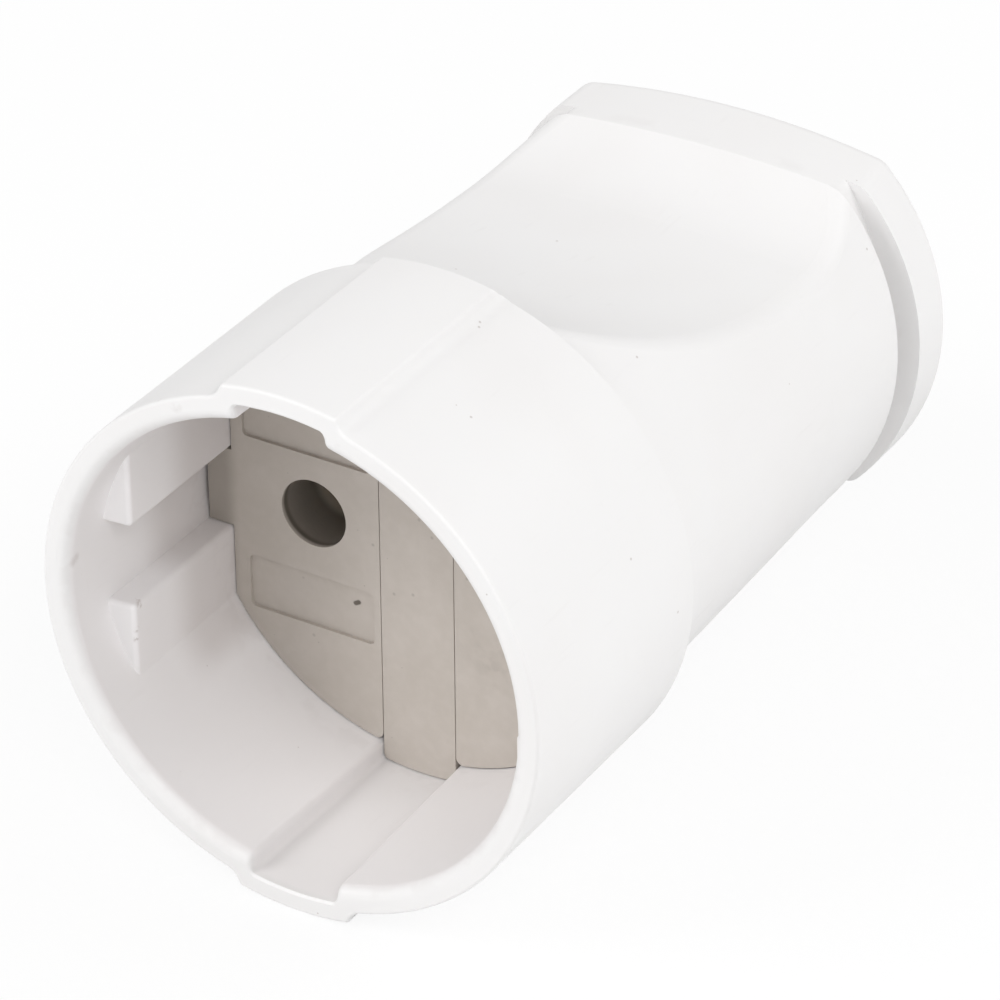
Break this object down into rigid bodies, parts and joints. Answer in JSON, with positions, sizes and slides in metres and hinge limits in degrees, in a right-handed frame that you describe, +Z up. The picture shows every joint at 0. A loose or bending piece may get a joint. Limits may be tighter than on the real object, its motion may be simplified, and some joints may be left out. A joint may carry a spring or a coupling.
{
  "type": "inline socket connector",
  "caption": "Round two-pin inline socket with a deep keyed cup in front and a waisted grip with a cord inlet behind.",
  "frame": {"origin": "centre of the front rim plane, on the long axis, midway between the two pin holes", "axes": "+Y along the connector from the rim to the cord end, +X towards the right pin hole seen from the front, +Z up through the upper bulge"},
  "size_m": [0.0444, 0.07, 0.0464],
  "materials": {
    "front_shroud": "satin white moulded plastic",
    "rear_housing": "satin white moulded plastic",
    "contact_block": "matt beige-grey moulded plastic",
    "left_face_panel": "matt beige-grey moulded plastic",
    "right_face_panel": "matt beige-grey moulded plastic",
    "left_contact": "bare brass",
    "right_contact": "bare brass",
    "left_contact_spring": "zinc-plated steel",
    "right_contact_spring": "zinc-plated steel",
    "left_clamp_washer": "zinc-plated steel",
    "right_clamp_washer": "zinc-plated steel",
    "left_terminal_screw": "zinc-plated steel",
    "right_terminal_screw": "zinc-plated steel",
    "cord_clamp_bar": "matt beige-grey moulded plastic",
    "cord_clamp_screws": "zinc-plated steel",
    "face_panel_screws": "zinc-plated steel",
    "housing_screws": "zinc-plated steel",
    "threaded_inserts": "bare brass"
  },
  "bodies": {
    "root": {"front_shroud": "front_shroud", "rear_housing": "rear_housing", "contact_block": "contact_block", "left_face_panel": "left_face_panel", "right_face_panel": "right_face_panel", "left_contact": "left_contact", "right_contact": "right_contact", "left_contact_spring": "left_contact_spring", "right_contact_spring": "right_contact_spring", "left_clamp_washer": "left_clamp_washer", "right_clamp_washer": "right_clamp_washer", "left_terminal_screw": "left_terminal_screw", "right_terminal_screw": "right_terminal_screw", "cord_clamp_bar": "cord_clamp_bar", "cord_clamp_screws": "cord_clamp_screws", "face_panel_screws": "face_panel_screws", "housing_screws": "housing_screws", "threaded_inserts": "threaded_inserts"}
  },
  "joints": []
}
